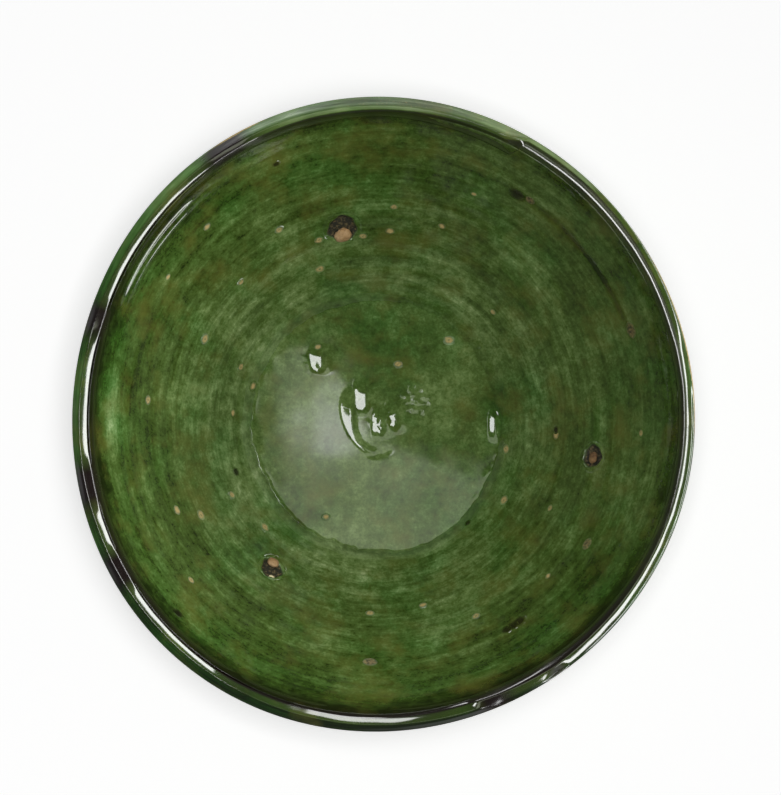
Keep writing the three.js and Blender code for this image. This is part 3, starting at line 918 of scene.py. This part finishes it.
def make_rim_glaze(material):
    """The thick coat over the roll, with its worn facet and its dark runs."""
    piece = spun("glaze_rim", oval_section(*ROLL_RING, ROLL_ROWS), ROLL_STEPS)
    radius, angle, height, row = places(piece)
    pools = np.zeros_like(radius)
    for centre, width, strength in RIM_POOLS:
        pools = np.maximum(pools, strength * bump_at(angle, centre, width))
    ring = np.column_stack([np.cos(angle), np.sin(angle), 0 * angle]) * RIM_RADIUS
    uneven = grain(ring, 24.0)
    wobble = 3 * uneven + 1.5 * grain(ring, 9.0)
    inward, drop = roll_section(row, angle, wobble + RUN_LEAN * np.clip(1.5 * pools, 0, 1))
    drop += between(row, *TOP_ROWS) * (0.18 * uneven + 0.1 * grain(ring, 8.0) + 0.3 * pools - 0.25)

    # The outer side, the top on the far side, paler there as a painted highlight and rougher where it is
    # worn, and streaks that run round
    outer = 1 - smooth(18, 23, row)
    far_side = np.maximum(stretch_at(angle, 94, 25), stretch_at(angle, 55, 13))
    worn_top_and_painted_highlight = far_side * between(row, *WORN_AND_HIGHLIT_ROWS)
    streaky = ring_grain(angle, row, turns=5.0, size=2.4, seed=41.0)
    streaky = streaky + 0.6 * ring_grain(angle, row, turns=16.0, size=1.5, seed=43.0)
    pool = INNER_POOL + outer * (round_trip(angle, OUTER_POOL) - INNER_POOL + 0.2 * streaky)
    pool = pool - 0.38 * worn_top_and_painted_highlight + 0.16 * far_side * between(row, *FAR_LINE_ROWS)

    # Black runs over the roll, and painted shade down its inner face
    black = np.clip(1.4 * pools, 0, 1) * between(row, *BLACK_ROWS)
    inner = smooth(30, 33, row) * (1 - 0.5 * smooth(36, 42, row))
    painted_shade_band = (0.7 + 0.3 * stretch_at(angle, 235, 130)) * inner

    # Clay shows through along the edge
    tan_arc = np.maximum(bump_at(angle, 15, 32), 0.8 * bump_at(angle, 118, 10))
    bare = tan_arc * between(row, *TAN_ROWS) + 0.2 * stretch_at(angle, 74, 40) * between(row, *FAR_TAN_ROWS)

    # Duller in the runs, down the inner face, outside on the far side and where it is worn
    dulled = np.maximum(0.14 * bump_at(angle, 42, 26), 0.25 * stretch_at(angle, 2, 28))
    rough = 0.05 + 0.1 * np.clip(1.3 * pools, 0, 1) + 0.07 * smooth(33, 37, row)
    rough += (0.34 + 0.2 * streaky) * outer * stretch_at(angle, 75, 70)
    rough += (0.28 + 0.2 * streaky) * worn_top_and_painted_highlight + dulled * between(row, *DULLED_ROWS)
    put(
        piece,
        hand_made(RIM_RADIUS + ROLL_PROUD - inward, angle, HEIGHT + drop),
        pool=pool,
        soot=np.maximum(black, painted_shade_band),
        bare=np.clip(bare, 0, 1),
        copper=round_trip(angle, OUTER_COPPER) * outer,
        rough=rough,
    )
    settle(piece, "rim_glaze", material)


# Outside glaze

OUTSIDE_RING_HEIGHT = 0.16
OUTSIDE_LUMP, OUTSIDE_LUMP_HEIGHT = 26.0, 0.25
OUTSIDE_SLOPE = 48.0
HEM_FADE = 14.0


def make_outside_glaze(material):
    """The coat outside, which ends in an uneven hem over the foot."""
    wall = wall_points(-WALL - COAT, 70)
    back = wall_points(-WALL, 14)[::-1]
    lip = np.array([[wall[-1, 0] + 0.2, wall[-1, 1] + 1.4]])
    section = [tuple(p) for p in [*wall, *lip, *(lip - [[2.0, 0]]), *back]]
    piece = spun("glaze_outside", section, 320)
    radius, angle, height, row = places(piece)
    front = row < len(wall) + 0.5
    rings = ring_grain(angle, height, turns=0.9, size=3.8, seed=3.0)
    rings = rings + 0.4 * ring_grain(angle, height, turns=1.8, size=1.8, seed=7.0)
    lumps = OUTSIDE_LUMP_HEIGHT * grain(hand_made(radius, angle, height), OUTSIDE_LUMP * MM)
    push = np.where(front, OUTSIDE_RING_HEIGHT * rings + lumps, 0)
    low = 1 - smooth(wall[0, 1], wall[0, 1] + HEM_FADE, height)
    hem = np.maximum(3.2 * round_grain(angle, turns=6.0) + 1.5, 0.2) * low
    lean = math.radians(OUTSIDE_SLOPE)
    radius = radius + hem / math.tan(math.radians(FLOOR_EDGE_SLOPE)) + push * math.sin(lean)
    height = height + hem - push * math.cos(lean)
    put(piece, hand_made(radius, angle, height), pool=0.5 - 0.14 * rings, soot=0, bare=0, copper=0, rough=0)
    settle(piece, "outside_glaze", material)


# Clay shell, rim coil and foot

CLAY_STEPS = 192
CLAY_COVER = 2.4
COIL_RING, COIL_ROWS = (121.5, 86.0, 1.4, 2.2), 12
BASE_RING_HEIGHT, BASE_RING_SPACING = 0.12, 4.2
FOOT_JOINT = 0.3
FOOT_WIDTH, FOOT_SPLAY, FOOT_CHAMFER = 10.0, 2.5, 1.0
FOOT_FLARE = 1.6
FOOT_RING_HEIGHT, FOOT_RING_SPACING = 0.14, 2.3
FOOT_LUMP, FOOT_LUMP_HEIGHT = 12.0, 0.2


def make_thrown_clay(name, section, node, material):
    """A clay piece that is pushed out of round with the bowl."""
    piece = spun(name, section, CLAY_STEPS)
    radius, angle, height, row = places(piece)
    put(piece, hand_made(radius, angle, height))
    settle(piece, node, material)


def shell_section():
    """The thrown shell of clay, with rings under its floor."""
    under = FOOT_HEIGHT + FOOT_JOINT
    base = [
        (r, under + BASE_RING_HEIGHT * math.sin(TURN * r / BASE_RING_SPACING))
        for r in np.arange(0, FOOT_TOP_RADIUS, 1.0)
    ]
    outer = [tuple(p) for p in wall_points(-WALL, 60)]
    inner = [tuple(p) for p in wall_points(-CLAY_COVER, 24)[::-1]]
    return [*base, (FOOT_TOP_RADIUS, under), *outer, *inner, (0.0, FLOOR_TOP - CLAY_COVER)]


def make_foot(material):
    """The turned ring of bare clay that the bowl stands on."""
    outer = FOOT_TOP_RADIUS - FOOT_SPLAY
    inner = outer - FOOT_WIDTH
    bends = (0.5, 1.0, 1.5)
    corner = [(FOOT_CHAMFER * math.sin(t), FOOT_CHAMFER - FOOT_CHAMFER * math.cos(t)) for t in bends]
    rises = np.linspace(0.1, 1, 12)
    flank = [(FOOT_SPLAY * t**FOOT_FLARE, FOOT_CHAMFER + (FOOT_HEIGHT - FOOT_CHAMFER) * t) for t in rises]
    section = [(inner + FOOT_CHAMFER, 0.0), (outer - FOOT_CHAMFER, 0.0)]
    section += [(outer - FOOT_CHAMFER + x, z) for x, z in corner]
    section += [(outer + x, z) for x, z in flank]
    section += [(inner - x, z) for x, z in flank[::-1]]
    section += [(inner + FOOT_CHAMFER - x, z) for x, z in corner[::-1]]
    piece = spun("turned_foot", section, 256)
    radius, angle, height, row = places(piece)
    points = np.column_stack([radius * np.cos(angle), radius * np.sin(angle), height]) * MM
    side = between(height, 0.2, 2.0, FOOT_HEIGHT - 1.0, FOOT_HEIGHT - 0.1)
    turned = FOOT_RING_HEIGHT * np.sin(TURN * height / FOOT_RING_SPACING)
    marks = side * (turned + FOOT_LUMP_HEIGHT * grain(points, FOOT_LUMP * MM))
    radius = radius + np.where(radius > (inner + outer) / 2, marks, -marks)
    put(piece, np.column_stack([radius * np.cos(angle), radius * np.sin(angle), height]) * MM)
    settle(piece, "foot_ring", material)


# Camera, lights and table


def set_camera():
    camera = bpy.data.objects.new("camera", bpy.data.cameras.new("camera"))
    bpy.context.scene.collection.objects.link(camera)
    bpy.context.scene.camera = camera
    right, up, forward = photo_axes()
    turned = Matrix((right, up, -forward)).transposed().to_4x4()
    camera.matrix_world = Matrix.Translation(CAMERA_AT) @ turned
    camera.data.sensor_width = SENSOR
    camera.data.lens = focal_pixels() * SENSOR / max(PHOTO_WIDTH, PHOTO_HEIGHT)
    camera.data.clip_start = 0.01


# Softboxes: azimuth, angle off straight up, distance, size across and up, and radiance. The polarised ones
# are crossed with a filter over the lens, so the glaze doesn't show them
LAMPS = [
    ("right_box", -27, 76, 1.5, (1.5, 0.26), 9.0),
    ("back_right_box", 28, 76, 1.5, (1.5, 0.26), 9.0),
    ("back_box", 95, 76, 1.5, (1.2, 0.26), 6.0),
    ("polarised_fill", 20, 45, 1.7, (1.4, 1.2), 1.5),
    ("left_box", 200, 21, 1.6, (0.9, 0.34), 10.5),
    ("polarised_key", 30, 18, 1.6, (0.8, 0.8), 4.8),
]
POLARISED = ("polarised_fill", "polarised_key")
TABLE_LAMP = ("table_lamp", 250, 4.4, 1.5, (0.35, 0.35), 26.0)

# The overhead panel is cut off by a flag, whose corner and two edges show in the glossy floor. Places on the
# panel are shares of its size, from that corner
PANEL_HEIGHT = 1.6
PANEL_SIZE = 0.9
PANEL_RADIANCE = 1.65
PANEL_COLOUR = (0.92, 1.0, 0.76)
FLAG_CORNER = (0.0765, 0.095)
FLAG_EDGES = (-63.4, -15.5)
FLAG_TOP = 0.1
FLAG_LEFT = (-0.12, -0.086)
HOT_SPOT = (-0.034, 0.024, 0.0)
HOT_REACH = 0.055
HOT_LEVEL, HOT_WHITE = 3.4, 2.4

STUDIO_LOW, STUDIO_HIGH = 0.12, 0.06
TABLE_SIZE = 6
TABLE_LIFT = 0.55


def hung(lamp, matrix, receivers):
    """A lamp in its place. Flags keep its light on its receivers."""
    holder = bpy.data.objects.new(lamp.name, lamp)
    bpy.context.scene.collection.objects.link(holder)
    holder.matrix_world = matrix
    holder.visible_camera = False
    holder.light_linking.receiver_collection = receivers
    return holder


def softbox(name, azimuth, zenith, distance, size, radiance, receivers):
    """A flat softbox that faces the bowl from an angle off straight up. The size is across, then up."""
    lamp = bpy.data.lights.new(name, "AREA")
    lamp.shape = "RECTANGLE"
    lamp.size, lamp.size_y = size
    lamp.energy = radiance * math.pi * size[0] * size[1]
    a, z = math.radians(azimuth), math.radians(zenith)
    towards = Vector((math.sin(z) * math.cos(a), math.sin(z) * math.sin(a), math.cos(z)))
    across = Vector((-math.sin(a), math.cos(a), 0))
    turned = Matrix((across, towards.cross(across), towards)).transposed().to_4x4()
    place = Matrix.Translation(towards * distance + Vector((0, 0, HEIGHT * MM))) @ turned
    return hung(lamp, place, receivers)


def set_overhead_panel(receivers):
    """The panel over the bowl: hot in one spot, a little cloudy, and dark where the flag covers it."""
    lamp = bpy.data.lights.new("overhead_panel", "AREA")
    lamp.size = PANEL_SIZE
    lamp.energy = PANEL_RADIANCE * math.pi * PANEL_SIZE**2
    tree = cleared(lamp)
    spot = add(tree, "NewGeometry", out="Parametric")
    from_corner = add(tree, "VectorMath", {0: spot, 1: (0.5, 0.5, 0)}, operation="SUBTRACT")
    lit = 0.0
    for degrees in FLAG_EDGES:
        a = math.radians(degrees)
        outward = (math.sin(a), -math.cos(a), 0)
        aside = add(tree, "VectorMath", {0: from_corner, 1: outward}, out="Value", operation="DOT_PRODUCT")
        clear = add(tree, "Math", {0: aside, 1: 0.0}, operation="GREATER_THAN")
        lit = add(tree, "Math", {0: clear, 1: lit}, operation="MAXIMUM")
    up = add(tree, "SeparateXYZ", {"Vector": from_corner}, out="Y")
    under = add(tree, "Math", {0: FLAG_TOP, 1: up}, operation="GREATER_THAN")
    aside = add(tree, "SeparateXYZ", {"Vector": from_corner}, out="X")
    fade = {"Value": aside, "From Min": FLAG_LEFT[0], "From Max": FLAG_LEFT[1]}
    left = add(tree, "MapRange", fade, interpolation_type="SMOOTHSTEP")
    off_spot = add(tree, "VectorMath", {0: from_corner, 1: HOT_SPOT}, out="Value", operation="DISTANCE")
    glow = {"Value": off_spot, "From Max": HOT_REACH, "To Min": HOT_LEVEL, "To Max": 1.0}
    hot = add(tree, "MapRange", glow, interpolation_type="SMOOTHSTEP")
    cloud = add(tree, "TexNoise", {"Vector": spot, "Scale": 22.0, "Detail": 4.0, "Roughness": 0.6})
    uneven = {"Value": cloud, "From Min": 0.3, "From Max": 0.7, "To Min": 0.7, "To Max": 1.25}
    cloudy = add(tree, "MapRange", uneven)
    level = lit
    for share in (under, left, hot, cloudy):
        level = add(tree, "Math", {0: level, 1: share}, operation="MULTIPLY")
    white = add(tree, "MapRange", {"Value": hot, "From Min": 1.0, "From Max": HOT_WHITE})
    colour = add(tree, "Mix", {0: white, 6: (*PANEL_COLOUR, 1), 7: (1, 1, 1, 1)}, out=2, data_type="RGBA")
    add(tree, "OutputLight", {"Surface": add(tree, "Emission", {"Color": colour, "Strength": level})})
    hung(lamp, Matrix.Translation((*FLAG_CORNER, PANEL_HEIGHT)), receivers)


def set_lights(table):
    """The bowl and the table have lamps of their own."""
    off_table = bpy.data.collections.new("flagged_off_the_table")
    off_table.objects.link(table)
    off_table.collection_objects[0].light_linking.link_state = "EXCLUDE"
    on_table = bpy.data.collections.new("on_the_table_alone")
    on_table.objects.link(table)
    for lamp in LAMPS:
        softbox(*lamp, off_table).visible_glossy = lamp[0] not in POLARISED
    softbox(*TABLE_LAMP, on_table)
    set_overhead_panel(off_table)
    world = bpy.data.worlds.new("studio")
    bpy.context.scene.world = world
    tree = cleared(world)
    height = add(tree, "SeparateXYZ", {"Vector": add(tree, "TexCoord", out="Generated")}, out="Z")
    fade = {"Value": height, "From Max": 0.9, "To Min": STUDIO_LOW, "To Max": STUDIO_HIGH}
    dim = add(tree, "MapRange", fade)
    add(tree, "OutputWorld", {"Surface": add(tree, "Background", {"Strength": dim})})


def set_table():
    """A white table that goes on out of view. It is lifted to white where it is seen, and keeps shadows."""
    table = fresh("table", bpy.ops.mesh.primitive_plane_add, size=TABLE_SIZE)
    material = bpy.data.materials.new("white_table")
    tree = cleared(material)
    seen = 0.0
    for ray in ("Is Camera Ray", "Is Transmission Ray"):
        seen = add(tree, "Math", {0: add(tree, "LightPath", out=ray), 1: seen}, operation="MAXIMUM")
    glow = add(tree, "Math", {0: seen, 1: TABLE_LIFT}, operation="MULTIPLY")
    paper = {"Base Color": linear("#fdfdfd"), "Roughness": 0.9}
    lifted = {"Emission Color": (1, 1, 1, 1), "Emission Strength": glow}
    add(tree, "OutputMaterial", {"Surface": add(tree, "BsdfPrincipled", {**paper, **lifted})})
    table.data.materials.append(material)
    return table


scene = bpy.context.scene
scene.view_settings.view_transform = "Standard"
set_camera()
set_lights(set_table())

glaze = green_glaze("green_lead_glaze", ior=1.6, brushed=1.0)
rim_glass = green_glaze("thick_lead_glass", ior=1.85, brushed=0.0)
clay = bare_clay("bare_earthenware", "#c79a72", "#b08058", "#8a5c3c")
chalky_clay = bare_clay("chalky_stilt_wash", "#ece3c2", "#ddd0a6", "#a08c64")
stilt_clay = bare_clay("burnt_stilt_clay", "#bfa27c", "#94764f", "#4a3220")
surface, face_pool = make_inside_glaze(glaze)
make_marks(surface, face_pool, glaze)
make_scars(surface, face_pool, glaze)
make_stilt_wads(surface, stilt_clay, chalky_clay)
make_rim_glaze(rim_glass)
make_outside_glaze(glaze)
make_thrown_clay("clay_shell", shell_section(), "clay_bowl", clay)
make_thrown_clay("rim_coil_clay", oval_section(*COIL_RING, COIL_ROWS), "rim_coil", clay)
make_foot(clay)
